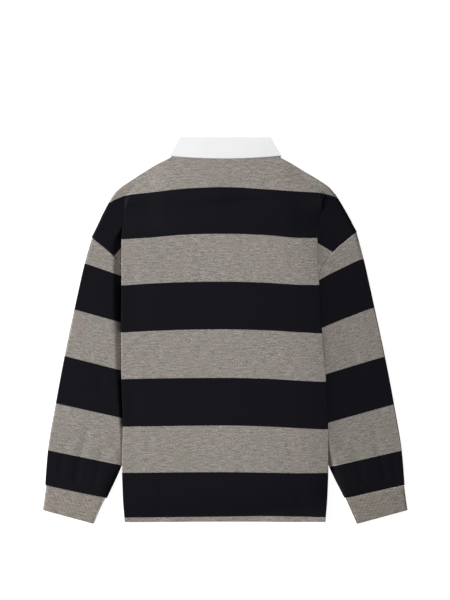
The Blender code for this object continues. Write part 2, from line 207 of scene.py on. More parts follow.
# How each side lies
# outset: of the outline
# puff, roll_under: extra height of the roll at the body's side, its depth below its outermost line
# sag: power of the back's fall from the roll to the centre
# loft, lean: of the sleeve, and more at its outer edge at LEAN_Y
# swell: more loft beside the fold
# beside: where the sleeve's rise beside the fold starts and ends
# edge_round: width of the rounding at the outer edge
# deep: ys between which the crease beside the fold deepens
# bulge, hidden, crevice: there, more loft, how much further in it starts, its end at CREVICE_Y
# fold_shift: y, and how far the fold's line is moved out
SIDES = {
    "left": dict(
        sign=-1, rows=LEFT_ROWS, sleeve=LEFT_SLEEVE, cuff=LEFT_CUFF, under=UNDER_STRIPE_LEFT,
        stripes=LEFT_SLEEVE_STRIPES, outset=1.3, puff=8.6, roll_under=6, sag=1.7, loft=4,
        lean=(6.6, 4.8, 2.5), swell=0, beside=(-1.5, 3), edge_round=1.8, deep=(-270, -170),
        bulge=6, hidden=3.5, crevice=(6.5, 11.5, 17, 16.5),
        fold_shift=(
            (-366, 1), (-320, 0.3), (-262, -0.4), (-235, -2.4), (-180, -2.4),
            (-120, -1.4), (160, -1.4), (230, 0),
        ),
    ),
    "right": dict(
        sign=1, rows=RIGHT_ROWS, sleeve=RIGHT_SLEEVE, cuff=RIGHT_CUFF, under=UNDER_STRIPE_RIGHT,
        stripes=RIGHT_SLEEVE_STRIPES, outset=0.6, puff=2.2, roll_under=3, sag=6, loft=6.6,
        lean=(-6.9, -6.9, -3), swell=1.4, beside=(-6.5, -1.5), edge_round=6, deep=NEVER,
        bulge=0, hidden=0, crevice=(0, 0, 0, 0),
        fold_shift=((-366, 1.1), (-300, 1.1), (-240, 0.2), (230, 0)),
    ),
}
SHALLOW_Y = (160, 205)  # between these ys the deep crease gets shallow again
SWELL_REACH = 14.0
CREVICE_Y = (-220, -115, -20, 120)
LEAN_Y = (-150, 60, 220)
WIDENS_Y = (-20, 120)  # between these ys the rise beside the fold gets a long foot
FOLD_OPENS = (180, 205)  # between these ys the crease beside the fold fades out
OPEN_LOFT, OPEN_START = 6, -4  # above them, the loft beside the fold and where it starts
SHOULDER_Y = (250, 290)  # between these ys the loft fades out beside the neck
LOFT_TOP = (292, 252)  # and between these everywhere
UNDERARM_REACH, CUFF_REACH = 22, 26  # the loft is less this near to the underarm's edge and the cuff
LOFT_AT_CUFF = 0.25  # part of it that is left there

# Turns of the fold between which these come in
TURN_CREASED = (90, 170)  # the crease beside the fold
TURN_SHORTER = (140, 170)  # the front's shorter run
TURN_ROLLED = (120, 176)  # the roll of the back
TURN_HIDES = (0, 150)  # the fold's own height, in place of the loft
TURN_FLAT, TURN_HALF = 150, 179  # from these on the run between crease and tuck is full, and lies level

ROLL_UP = 0.3  # the roll's depth above its outermost line
SIDE_WALL = 0.2  # part of the wall that shows beyond the roll at its side
PUFF_TOP = (215, 165)  # ys between which the puff comes in
PUFF_HEM = (-366, -296)  # ys between which it grows from its part at the hem
PUFF_AT_HEM = 0.35
CENTRE_RISE = 10.5
CENTRE_TOP = (300, 210)  # ys between which the back rises at the centre, from the neck
CENTRE_HEM = (-366, -306)  # and from the hem
ROLL_BLEND = 40.0  # the back leaves the roll's height over this width
BLEND_SOFT = 0.3
MIDDLE = (-60, 60)  # xs between which the two sides' rows blend

# Soft creases: ends (x, y) and (x, y), half width, depth
BACK_CREASES = (
    ((-171, 118), (-164, 12), 11, 0.3),
    ((-176, -120), (-170, -262), 9, 0.26),
    ((-118, -296), (-125, -364), 12, 0.34),
    ((34, -322), (30, -366), 9, 0.24),
    ((139, -270), (147, -362), 11, 0.32),
    ((158, 60), (150, -38), 10, 0.24),
)
FRONT_CREASES = (
    ((-160, 90), (-148, -60), 10, 0.5),
    ((-96, -210), (-104, -350), 12, 0.6),
    ((52, 40), (61, -90), 9, 0.45),
    ((128, -180), (120, -340), 11, 0.55),
    ((-30, -120), (-22, -230), 8, 0.4),
)
SLEEVE_CREASES = (
    ((-262, -186), (-287, -284), 7, 0.6),
    ((-236, -228), (-250, -292), 5.5, 0.42),
    ((-303, -210), (-318, -276), 6, 0.36),
    ((-224, -52), (-243, -112), 9, 0.34),
    ((286, -192), (307, -282), 7, 0.5),
    ((321, -236), (329, -284), 5.5, 0.38),
    ((248, -222), (264, -290), 6, 0.44),
    ((238, -16), (257, -84), 9, 0.34),
)
SLEEVE_UNDER_CREASES = (
    ((-250, -150), (-283, -270), 8, 0.6),
    ((-296, -90), (-312, -188), 7, 0.45),
    ((-215, -30), (-231, -92), 9, 0.5),
    ((262, -138), (296, -262), 8, 0.55),
    ((226, -34), (244, -98), 9, 0.45),
    ((300, -110), (314, -180), 6, 0.4),
)
INNER_PANEL_IN = 1.4  # the front's fold stays this far inside the back's
UNDER_CREASE_PART = 0.9

# Stations of the meshes
ROW_STEP = 5.0
SHOULDER_STEP = 2.5
SHOULDER_ROWS = 9
NECK_ROWS = 2
NECK_PARTS = [0, 0.02, 0.06, 0.15, 0.35, 0.65]
FRONT_NECK_ROWS = 11
CENTRE_COLUMN = PLACKET_HALF + GAP
OUTER_STEPS = 32
TUCK_SIDES = 8
RUN_STEPS = 8
CREASE_SIDES = 18
MAIN_STEPS = 34
UNDER_STATIONS = OUTER_STEPS + TUCK_SIDES
SIDE_STATIONS = UNDER_STATIONS + RUN_STEPS + CREASE_SIDES + 1 + MAIN_STEPS
EDGE_STOPS = (0, 0.12, 0.45, 1.2, 2.6)  # distances from an edge
ROLL_STOPS = (0.25, 0.7, 1.6, 3.5)  # and from the side's roll
CREASE_REACH = 6.0  # stations lie closer together this near to the crease
RING_STEP = 4.0
SEAM_PARTS = [0.004, 0.012, 0.03]  # more rings beside the armhole
SLEEVE_END_STOPS = (2.4, 1.4, 0.7, 0.25)  # and this far from the sleeve's end
SLEEVE_STATIONS, SEAM_STATIONS, CUFF_STATIONS = 60, 80, 44
CUFF_STARTS = [0, 0.15, 0.5, 1.2]  # distances from the cuff's ends
CUFF_ENDS = [1.4, 0.8, 0.4, 0.12, 0]
ARC_SIDES = 8
PLACKET_COLUMNS = 13
STAND_STEPS = 8  # of the collar
BEND_STEPS = 11
FALL_START = STAND_STEPS + BEND_STEPS
FALL_STOPS = (5, 4, 3.4, 3, 2.6, 2, 1.2, 0.6, 0.25, 0)  # distances from the fall's edge
FALL_FINE = 6.0  # they begin this far from it

# Edges
PLACKET_ROUND, SEAM_ROUND, CUFF_END_ROUND = 2.5, 0.5, 1.4
END_TURN = 1.8  # the sleeve's end rolls in to the cuff over this length
SLEEVE_END_ROUND = END_TURN * 0.6
CUFF_LOFT, CUFF_LOFT_AT_SEAM = 1.6, 0.1
CUFF_SIDE_REACH, CUFF_SEAM_REACH = 6, 9
FALL_BOW = 0.9  # how far the fall bows up between its fold and its edge
FALL_LIFT = 0.5  # and stands off at its edge
STITCH_DEPTH, STITCH_PLACE, STITCH_HALF = 0.28, 3.2, 0.7  # channel along the collar's edge


def ease(t):
    t = np.clip(t, 0.0, 1.0)
    return t * t * (3 - 2 * t)


def ramp(value, start, end):
    """0 at start and 1 at end, eased."""
    return ease((value - start) / (end - start))


def dome(t):
    """A quarter ellipse: 0 at 0, upright there, and level from 1 on."""
    return np.sqrt(np.maximum(0.0, 1 - (1 - np.clip(t, 0.0, 1.0)) ** 2))


def curve(xs, ys):
    """A smooth curve through the points that never overshoots them."""
    xs, ys = np.asarray(xs, float), np.asarray(ys, float)
    if xs[0] > xs[-1]:
        xs, ys = xs[::-1], ys[::-1]
    step = np.diff(xs)
    rise = np.diff(ys) / step
    slope = np.zeros_like(ys)
    slope[0], slope[-1] = rise[0], rise[-1]
    for k in range(1, len(xs) - 1):
        if rise[k - 1] * rise[k] > 0:
            a, b = 2 * step[k] + step[k - 1], step[k] + 2 * step[k - 1]
            slope[k] = (a + b) / (a / rise[k - 1] + b / rise[k])

    def at(x):
        x = np.clip(x, xs[0], xs[-1])
        k = np.clip(np.searchsorted(xs, x, side="right") - 1, 0, len(step) - 1)
        t = (x - xs[k]) / step[k]
        return (
            ys[k] * (1 + 2 * t) * (1 - t) ** 2
            + slope[k] * step[k] * t * (1 - t) ** 2
            + ys[k + 1] * t * t * (3 - 2 * t)
            + slope[k + 1] * step[k] * t * t * (t - 1)
        )

    return at


def distance_to(line, w, y):
    """Distance of the points (w, y) from a line of points."""
    best = np.full(np.broadcast(w, y).shape, 1e9)
    for (w0, y0), (w1, y1) in zip(line[:-1], line[1:]):
        dw, dy = w1 - w0, y1 - y0
        t = np.clip(((w - w0) * dw + (y - y0) * dy) / (dw * dw + dy * dy), 0, 1)
        best = np.minimum(best, np.hypot(w - w0 - t * dw, y - y0 - t * dy))
    return best


def crease_depth(table, x, y):
    """Depth of the soft creases of a table at the points (x, y)."""
    depth = np.zeros(np.broadcast(x, y).shape)
    for start, end, half_width, deepest in table:
        depth = depth + deepest * np.exp(-((distance_to((start, end), x, y) / half_width) ** 2))
    return depth


def parts_of(length, step):
    count = max(1, math.ceil(length / step))
    return [k / count for k in range(count)]


# ---- the shirt's lines


class Side:
    """One side of the shirt: its rows as smooth curves, its outline and its stripes."""

    def __init__(self, facts):
        self.__dict__.update(facts)
        table = np.column_stack([self.rows, TURNS]).astype(float)
        self.ys = ys = table[:, 0]
        table[NECK_ROWS : ARMHOLE_ROW + 1, 1] += self.outset
        table[:, 2] += np.interp(ys, *zip(*self.fold_shift))
        self.sleeve = [(ow + self.outset, oy, iw, iy) for ow, oy, iw, iy in self.sleeve]
        self.cuff = [(ow + self.outset, oy, iw, iy) for ow, oy, iw, iy in self.cuff]
        self.upper_edge = curve(ys[: ARMHOLE_ROW + 1], table[: ARMHOLE_ROW + 1, 1])
        part = slice(ARMHOLE_ROW, UNDERARM_ROW + 1)
        self.armhole_edge = curve(ys[part], table[part, 1])
        self.crease, self.tuck, self.turn = (curve(ys, column) for column in table[:, 2:].T)
        runs = [c - t - 2 * OUT - 2 * RADIUS if turn > TURN_FLAT else 1.0 for c, t, turn in table[:, 2:]]
        self.run = curve(ys, runs)
        under = [table[UNDERARM_ROW, 1]] + [ring[2] for ring in self.sleeve]
        under_y = [table[UNDERARM_ROW, 0]] + [ring[3] for ring in self.sleeve]
        self.sleeve_under = curve(under_y, under)
        shoulder = [(w, y) for y, w in table[: ARMHOLE_ROW + 1, :2]]
        outer = [shoulder[-1]] + [ring[:2] for ring in self.sleeve]
        outer_w, outer_y = (curve(range(len(outer)), values) for values in zip(*outer))
        fine = np.linspace(0, len(outer) - 1, 8 * len(outer))[1:]
        self.outline = shoulder + list(zip(outer_w(fine), outer_y(fine)))
        self.underline = list(zip(under, under_y))
        self.sleeve_end = [self.sleeve[-1][:2], self.sleeve[-1][2:]]

    def soft(self, w, y):
        """Loft of the cloth outside the body's side, from the shoulder to the cuff."""
        from_fold = w - self.crease(y)
        deep = ramp(y, *self.deep) * (1 - ramp(y, *SHALLOW_Y))
        opened = ramp(y, *FOLD_OPENS)
        wide = ramp(y, *WIDENS_Y)
        crevice = np.interp(y, CREVICE_Y, self.crevice)
        start = self.beside[0] - self.hidden * deep * wide
        end = self.beside[1] + (crevice - self.beside[1]) * deep
        start, end = start + (OPEN_START - start) * opened, end * (1 - opened)
        beside = np.clip((from_fold - start) / (end - start), 0, 1)
        beside = ease(beside) * wide + (1 - (1 - beside) ** 3) * (1 - wide)
        # above the fold's upper end there is no crease
        folded = ramp(self.turn(np.clip(y, self.ys[-1], self.ys[0])), *TURN_CREASED)
        beside = beside * folded + (1 - folded)
        shoulder = ramp(y, *SHOULDER_Y) * (1 - ramp(w, *NECK_LIFT_W))
        to_edge = distance_to(self.outline, w, y) + 1e-3
        outwards = 1 - to_edge / (to_edge + np.maximum(from_fold, 0))
        rise = self.loft + (OPEN_LOFT - self.loft) * opened + self.bulge * deep
        rise = rise + np.interp(y, LEAN_Y, self.lean) * outwards
        rise = rise + self.swell * np.exp(-np.maximum(from_fold, 0) / SWELL_REACH) * (1 - opened)
        rise = rise * dome(to_edge / self.edge_round) * ramp(y, *LOFT_TOP)
        rise = rise * dome(distance_to(self.underline, w, y) / UNDERARM_REACH)
        near_cuff = dome(distance_to(self.sleeve_end, w, y) / CUFF_REACH)
        rise = rise * (LOFT_AT_CUFF + (1 - LOFT_AT_CUFF) * near_cuff)
        return rise * beside * (1 - shoulder)


LEFT, RIGHT = Side(SIDES["left"]), Side(SIDES["right"])
front_neck_drop = curve(FRONT_NECK_W, FRONT_NECK_DROP)


def back_neck_drop(w):
    return BACK_NECK_DROP * np.clip(1 - (w / NECK_HALF) ** 2, 0, 1)


def neck_lift(w, y):
    return PITCH * (1 - ramp(np.abs(w), *NECK_LIFT_W)) * (1 - ramp(y, *NECK_LIFT_Y))


def centre_rise(y):
    """How far the back stands off the front on the centre line."""
    return CENTRE_RISE * ramp(y, *CENTRE_TOP) * ramp(y, *CENTRE_HEM)


# ---- stripes


def body_stripe(x, y, under):
    """Cloth coordinate along the body: under is 0 on top and 1 outside the side's fold, below it."""
    lines = np.array([top_arch(x)] + [boundary(x) for boundary in boundaries])
    top = band_of(lines, y)
    w = np.abs(x)
    slanted = []
    for (w0, y0), (w1, y1) in (LEFT.under, RIGHT.under):
        slope = (y1 - y0) / (w1 - w0)
        slanted.append(y0 + slope * np.where(w > w0, w - w0, SLANT * np.tanh((w - w0) / SLANT)))
    shifted = lines.copy()
    shifted[1:] += np.where(x < 0, *slanted) - lines[1]
    below = band_of(shifted, y)
    return top * (1 - under) + below * under


top_arch = curve(*zip(*TOP_ARCH))
boundaries = [curve(STRIPE_X, row) for row in BODY_STRIPES]


def band_of(lines, y):
    """Band number of y between the lines, with its part of a band."""
    ends = np.concatenate([lines, lines[-1:] - STRIPE])
    band = -(np.clip(y - lines[0], 0, TOP_BAND)) / STRIPE
    for k in range(len(lines)):
        part = (ends[k] - y) / (ends[k] - ends[k + 1])
        band = np.where(y < ends[k], k + part, band)
    return band


def sleeve_stripe(side, w, y):
    """Cloth coordinate along the sleeve, in bands."""
    depths = []
    for (w0, y0), (w1, y1) in side.stripes:
        across = np.array((w1 - w0, y1 - y0)) / math.hypot(w1 - w0, y1 - y0)
        down = np.array((-across[1], across[0]))
        if down[1] > 0:
            down = -down
        depths.append((w - w0) * down[0] + (y - y0) * down[1])
    band = depths[0] / STRIPE
    for k in range(len(depths) - 1):
        part = depths[k] / np.maximum(depths[k] - depths[k + 1], 1e-6)
        band = np.where(depths[k] > 0, k + np.minimum(part, 1), band)
    return np.where(depths[-1] > 0, len(depths) - 1 + depths[-1] / STRIPE, band)


# ---- meshes


def make_shell(name, outer, inner, uv, material, keep=None, closed=False):
    """A closed wall between two grids of points in millimetres, with its cloth coordinates in metres."""
    rows, columns = outer.shape[:2]
    spans = columns if closed else columns - 1
    keep = np.ones((rows - 1, spans), bool) if keep is None else keep
    r, c = np.nonzero(keep)
    right = (c + 1) % columns
    upper, lower = r * columns, (r + 1) * columns
    quads = np.stack([upper + c, lower + c, lower + right, upper + right], 1)
    wide = uv.shape[1]
    upper, lower = r * wide + c, (r + 1) * wide + c
    corners = np.stack([upper, lower, lower + 1, upper + 1], 1)
    total = rows * columns
    a, b = quads.ravel(), np.roll(quads, -1, axis=1).ravel()
    ua, ub = corners.ravel(), np.roll(corners, -1, axis=1).ravel()
    open_side = ~np.isin(a * total + b, b * total + a)
    a, b, ua, ub = a[open_side], b[open_side], ua[open_side], ub[open_side]
    faces = np.concatenate([quads, quads[:, ::-1] + total, np.stack([b, a, a + total, b + total], 1)])
    places = np.concatenate([corners, corners[:, ::-1], np.stack([ub, ua, ua, ub], 1)])
    points = np.concatenate([outer.reshape(-1, 3), inner.reshape(-1, 3)]) * MM
    used, index = np.unique(faces, return_inverse=True)
    faces = index.reshape(faces.shape)
    mesh = bpy.data.meshes.new(name)
    mesh.from_pydata(points[used].tolist(), [], faces.tolist())
    layer = mesh.uv_layers.new(name="cloth")
    layer.data.foreach_set("uv", uv.reshape(-1, 2)[places.ravel()].astype(np.float32).ravel())
    mesh.shade_smooth()
    mesh.materials.append(material)
    mesh.validate()
    thing = bpy.data.objects.new(name, mesh)
    bpy.context.scene.collection.objects.link(thing)
    return thing


def edge_round(distance, radius=WALL):
    """Part of the wall that is left near a rounded edge."""
    return np.maximum(0.1, dome(distance / radius))


def lengths_along(points, axis):
    step = np.linalg.norm(np.diff(points, axis=axis), axis=-1)
    zero = np.zeros_like(np.take(step, [0], axis=axis))
    return np.concatenate([zero, np.cumsum(step, axis=axis)], axis=axis)


# ---- body


def side_line(side, s, y, front):
    """One side's section at the row s: (w, z) from the outer end in to the centre, and which part it is."""
    turn_deg = float(side.turn(y))
    turn = math.radians(turn_deg)
    inset = INNER_PANEL_IN if front else 0.0
    crease = float(side.crease(y)) - inset * float(ramp(turn_deg, *TURN_CREASED))
    tuck = float(side.tuck(y))
    below = s > UNDERARM_ROW + 1e-6
    edge = float(side.armhole_edge(y) if s > ARMHOLE_ROW else side.upper_edge(y))
    run = float(side.run(y)) - inset * float(ramp(turn_deg, *TURN_SHORTER))

    # the tight fold
    up = turn * (np.arange(TUCK_SIDES) + 0.5) / TUCK_SIDES
    down = turn * (1 - (np.arange(CREASE_SIDES) + 0.5) / CREASE_SIDES)
    angles = np.concatenate([up, np.full(RUN_STEPS, turn), down])
    arc = math.pi * RADIUS
    lengths = np.repeat(
        [arc / TUCK_SIDES, run / RUN_STEPS, arc / CREASE_SIDES], [TUCK_SIDES, RUN_STEPS, CREASE_SIDES]
    )
    w = np.concatenate([[0], np.cumsum(-lengths * np.cos(angles))])
    z = np.concatenate([[0], np.cumsum(lengths * np.sin(angles))])
    first_crease = TUCK_SIDES + RUN_STEPS
    w += crease - OUT - w[first_crease:].max()
    z += FLOOR_PAIR

    sleeve_w = float(side.sleeve_under(y))

    def height(at):
        """Middle height of the folded side's lower pair."""
        if not below:
            return np.full_like(np.asarray(at, float), FLOOR_PAIR + 2 * RADIUS)
        return FLOOR_PAIR + 2 * PITCH * (1 - ease((sleeve_w - CLEAR - at) / SLEEVE_RAMP))

    puffed = ramp(turn_deg, *TURN_ROLLED)
    if below:
        run_w = np.linspace(tuck, w[first_crease], RUN_STEPS + 1)
        w[TUCK_SIDES : first_crease + 1] = run_w
        shift = height(w[first_crease]) - z[first_crease]
        z[first_crease:] += shift
        z[TUCK_SIDES : first_crease + 1] = height(run_w)
        w[:TUCK_SIDES] = tuck - np.arange(TUCK_SIDES, 0, -1)
        z[:TUCK_SIDES] = z[TUCK_SIDES]
    if not front:
        puff = side.puff * (PUFF_AT_HEM + (1 - PUFF_AT_HEM) * float(ramp(y, *PUFF_HEM)))
        rise = RADIUS + puff * float(ramp(y, *PUFF_TOP)) / 2
        angle = np.linspace(-math.pi / 2, math.pi / 2, CREASE_SIDES + 1)
        depth = np.where(angle < 0, side.roll_under, ROLL_UP)
        roll_w = crease - OUT * SIDE_WALL - depth * (1 - np.cos(angle))
        roll_z = z[first_crease] + rise * (1 + np.sin(angle))
        w2, z2 = w.copy(), z.copy()
        w2[first_crease:], z2[first_crease:] = roll_w, roll_z
        w2[TUCK_SIDES : first_crease + 1] = np.linspace(w[TUCK_SIDES], roll_w[0], RUN_STEPS + 1)
        w, z = w + (w2 - w) * puffed, z + (z2 - z) * puffed

    # outside the fold, on the floor
    if below:
        outer_w = w[0] - np.arange(OUTER_STEPS, 0, -1)
        outer_z = np.full(OUTER_STEPS, z[0])
    else:
        near = np.array(EDGE_STOPS)
        rest = edge - w[0] - near[-1]
        place = (edge - near[-1] - crease) / rest
        parts = crowded(OUTER_STEPS - len(near) + 2, place, CREASE_REACH / rest)
        outer_w = edge - np.concatenate([near, near[-1] + rest * parts[1:-1]])
        outer_z = np.full(OUTER_STEPS, FLOOR_PAIR)

    # on top, in to the centre
    inner_w = w[-1]
    main_w = inner_w - np.array(ROLL_STOPS)
    flat_w = np.linspace(main_w[-1], CENTRE_COLUMN, MAIN_STEPS - len(main_w) + 1)[1:]
    main_w = np.concatenate([main_w, flat_w])
    tight_top = FLOOR_PAIR + 2 * RADIUS * (1 - math.cos(turn))
    if turn_deg < TURN_HALF:
        tight_top += run * math.sin(turn)
    if below:
        level = height(np.maximum(main_w, tuck)) + 2 * RADIUS
    else:
        level = np.full(MAIN_STEPS, z[-1] if front else min(tight_top, z[-1]))
    pair_z = level + (FLOOR_PAIR - level) * ease((tuck - CLEAR - main_w) / FRONT_RAMP)
    if front:
        main_z = pair_z
    else:
        low = FLOOR_PAIR + float(centre_rise(y))
        share = np.clip((main_w - CENTRE_COLUMN) / (inner_w - CENTRE_COLUMN), 0, 1)
        sag = low + (z[-1] - low) * share**side.sag
        # both are at the roll's height at its end
        near_roll = ease((inner_w - main_w) / ROLL_BLEND)
        floor = pair_z + (z[-1] - level) * (1 - near_roll)
        main_z = 0.5 * (sag + floor + np.sqrt((sag - floor) ** 2 + BLEND_SOFT * near_roll))
    part = np.concatenate(
        [np.ones(UNDER_STATIONS), np.linspace(1, 0, RUN_STEPS + 1), np.zeros(CREASE_SIDES + MAIN_STEPS)]
    )
    return np.concatenate([outer_w, w, main_w]), np.concatenate([outer_z, z, main_z]), part


def row_stops():
    """Row numbers, close together at the neck's edge and at the hem."""
    stops = []
    for k in range(len(LEFT_ROWS) - 1):
        step = abs(LEFT_ROWS[k][0] - LEFT_ROWS[k + 1][0])
        parts = parts_of(step, ROW_STEP if k > SHOULDER_ROWS else SHOULDER_STEP)
        if k == 0:
            parts = NECK_PARTS
        if k == len(LEFT_ROWS) - 2:
            parts = parts + [1 - d / step for d in EDGE_STOPS[:0:-1] if 1 - d / step > parts[-1]]
        stops += [k + p for p in parts]
    return stops + [len(LEFT_ROWS) - 1]


def body_grid(front):
    """Middle places between back and front with their normals, cloth coordinates and soft loft."""
    grid, uvs = [], []
    stops = row_stops()
    for s in stops:
        k = min(int(s), len(LEFT_ROWS) - 2)
        ys = [side.ys[k] + (side.ys[k + 1] - side.ys[k]) * (s - k) for side in (LEFT, RIGHT)]
        (lw, lz, lp), (rw, rz, rp) = (side_line(side, s, y, front) for side, y in zip((LEFT, RIGHT), ys))
        x = np.concatenate([-lw, [0.0], rw[::-1]])
        middle = (lz[-1] + rz[-1]) / 2
        z = np.concatenate([lz, [middle], rz[::-1]])
        part = np.concatenate([lp, [0.0], rp[::-1]])
        y = ys[0] + (ys[1] - ys[0]) * ramp(x, *MIDDLE)
        level = (ys[0] + ys[1]) / 2
        w = np.abs(x)
        if front and s < FRONT_NECK_ROWS:
            lowest = NECK_Y - FRONT_NECK_DROP[0]
            kept = max(0.0, (level - (lowest - FRONT_ROW_STEP * s)) / FRONT_NECK_DROP[0])
            y = y - np.where(w < NECK_HALF, front_neck_drop(w), 0) * kept
        elif not front and s < 1:
            y = y - back_neck_drop(w) * (1 - s)
        z = z + neck_lift(x, y)
        left = x < 0
        band = body_stripe(x, y, part)
        if not front:
            for side, mask in ((LEFT, left), (RIGHT, ~left)):
                share = np.where(part > 0.999, 1.0, 1 - float(ramp(side.turn(level), *TURN_HIDES)))
                share = share * (s <= UNDERARM_ROW)
                weight = np.where(part > 0, mask, ramp(side.sign * x, *MIDDLE))
                z = z + side.soft(w, y) * share * weight
            z = z - crease_depth(BACK_CREASES, x, y) * (part == 0)
        else:
            z = z + crease_depth(FRONT_CREASES, x, y) * (part == 0)
        points = np.stack([x, y, z], 1)
        along = np.concatenate([[0], np.cumsum(np.hypot(np.diff(x), np.diff(z)))])
        along -= along[SIDE_STATIONS]
        grid.append(points)
        uvs.append(np.stack([along * MM, band * STRIPE * MM], 1))
    grid = np.array(grid)
    tangent = np.gradient(grid[:, :, [0, 2]], axis=1)
    tangent /= np.maximum(np.linalg.norm(tangent, axis=2, keepdims=True), 1e-9)
    normal = np.zeros_like(grid)
    normal[..., 0], normal[..., 2] = -tangent[..., 1], tangent[..., 0]
    if not front:
        roll = np.zeros(SIDE_STATIONS)
        roll[UNDER_STATIONS + RUN_STEPS + 1 : -MAIN_STEPS] = 1 - SIDE_WALL
        for side, columns in ((LEFT, slice(None, SIDE_STATIONS)), (RIGHT, slice(None, -SIDE_STATIONS - 1, -1))):
            rolled = ramp(side.turn(grid[:, columns, 1].mean(1)), *TURN_ROLLED)
            normal[:, columns, 0] *= 1 - roll * rolled[:, None]
    return grid, normal, np.array(uvs), np.array(stops)


def make_body(jersey):
    things = {}
    for name, front in (("back_cloth", False), ("front_cloth", True)):
        grid, normal, uv, stops = body_grid(front)
        keep = np.ones((grid.shape[0] - 1, grid.shape[1] - 1), bool)
        below = stops[:-1] >= UNDERARM_ROW - 1e-6
        keep[below, :UNDER_STATIONS] = False
        keep[below, -UNDER_STATIONS:] = False
        if front:
            keep[stops[:-1] < PLACKET_END_ROW - 1e-6, SIDE_STATIONS - 1 : SIDE_STATIONS + 1] = False
        down = lengths_along(grid, 0)
        across = lengths_along(grid, 1)
        wall = edge_round(down) * edge_round(down[-1:] - down)
        round_side = np.where(stops < ARMHOLE_ROW, WALL, SEAM_ROUND)[:, None]
        wall = wall * edge_round(across, round_side) * edge_round(across[:, -1:] - across, round_side)
        sign = -1 if front else 1
        inner = grid + normal * sign * GAP / 2
        outer = grid + normal * sign * (GAP / 2 + WALL * wall)[..., None]
        if front:
            outer, inner = inner, outer
        things[name] = make_shell(name, outer, inner, uv, jersey, keep)
        if front:
            things["placket_cloth"] = make_placket(grid, uv, stops, jersey)
    return things


def make_placket(grid, uv, stops, jersey):
    last = int(np.searchsorted(stops, PLACKET_END_ROW - 1e-6))
    strip = grid[: last + 1, SIDE_STATIONS - 1 : SIDE_STATIONS + 2]
    t = np.linspace(0, 1, PLACKET_COLUMNS)[None, :, None]
    half = PLACKET_HALF - GAP / 2
    flat = strip[:, :1] * (1 - t) + strip[:, -1:] * t
    flat[..., 0] = (t[..., 0] * 2 - 1) * half
    flat[-1, :, 1] += GAP
    cloth = uv[: last + 1, SIDE_STATIONS - 1 : SIDE_STATIONS].repeat(PLACKET_COLUMNS, 1)
    cloth[..., 0] = flat[..., 0] * MM
    wall = edge_round(half - np.abs(flat[..., 0]), PLACKET_ROUND)
    outer, inner = flat.copy(), flat.copy()
    outer[..., 2] -= GAP / 2
    inner[..., 2] -= GAP / 2 + WALL * wall
    return make_shell("placket_cloth", outer, inner, cloth, jersey)


# ---- sleeves and cuffs


def tube(lines, material, name, side, soft, uv_at, start_round, end_round):
    """A flattened tube round lines of (x, y) from its outer edge in, with its upper layer lofted by soft."""
    outer_rings, inner_rings, uvs = [], [], []
    angle = math.pi * np.arange(1, ARC_SIDES) / ARC_SIDES
    for line in lines:
        line = np.array(line)
        out = (line[0] - line[1]) / np.linalg.norm(line[0] - line[1])
        back = (line[-1] - line[-2]) / np.linalg.norm(line[-1] - line[-2])
        first, last = line[0] - out * OUT, line[-1] - back * OUT
        inside = np.array([first, *line[1:-1], last])
        rings = []
        for radius in (OUT, GAP / 2):
            far = last + back * (radius * np.sin(angle))[:, None]
            near = first + out * (radius * np.sin(angle))[:, None]
            flat = np.concatenate([inside, far, inside[::-1], near[::-1]])
            level, turned = np.full(len(inside), radius), radius * np.cos(angle)
            height = np.concatenate([level, turned, -level, turned[::-1]])
            x, y = flat.T
            loft = soft(np.abs(x), y) - crease_depth(SLEEVE_CREASES, x, y)
            hollow = crease_depth(SLEEVE_UNDER_CREASES, x, y)
            part = np.where(height > 0, loft, -hollow * radius / OUT * UNDER_CREASE_PART)
            height = height * (radius + part) / radius
            rings.append(np.column_stack([flat, FLOOR_PAIR + height]))
        outer_rings.append(rings[0])
        inner_rings.append(rings[1])
        loop = np.concatenate([rings[0], rings[0][:1]])
        v = uv_at(np.abs(loop[:, 0]), loop[:, 1])
        uvs.append(np.column_stack([lengths_along(loop, 0) * MM, v * MM]))
    outer, inner, uv = np.array(outer_rings), np.array(inner_rings), np.array(uvs)
    down = lengths_along(outer, 0)
    wall = edge_round(down, start_round) * edge_round(down[-1:] - down, end_round)
    outer = inner + (outer - inner) * wall[..., None]
    if side.sign > 0:
        outer, inner, uv = outer[:, ::-1], inner[:, ::-1], uv[:, ::-1]
    return make_shell(name, outer, inner, uv, material, closed=True)


def crowded(count, place, reach):
    """Parts from 0 to 1, closer together near both ends and round a place."""
    t = np.linspace(0, 1, 600)
    density = 1 + 6 / (1 + ((t - place) / reach) ** 2)
    density = density + 5 * np.exp(-t / 0.02) + 2 * np.exp((t - 1) / 0.02)
    total = np.concatenate([[0], np.cumsum(density[1:] + density[:-1])])
    return np.interp(np.linspace(0, 1, count), total / total[-1], t)


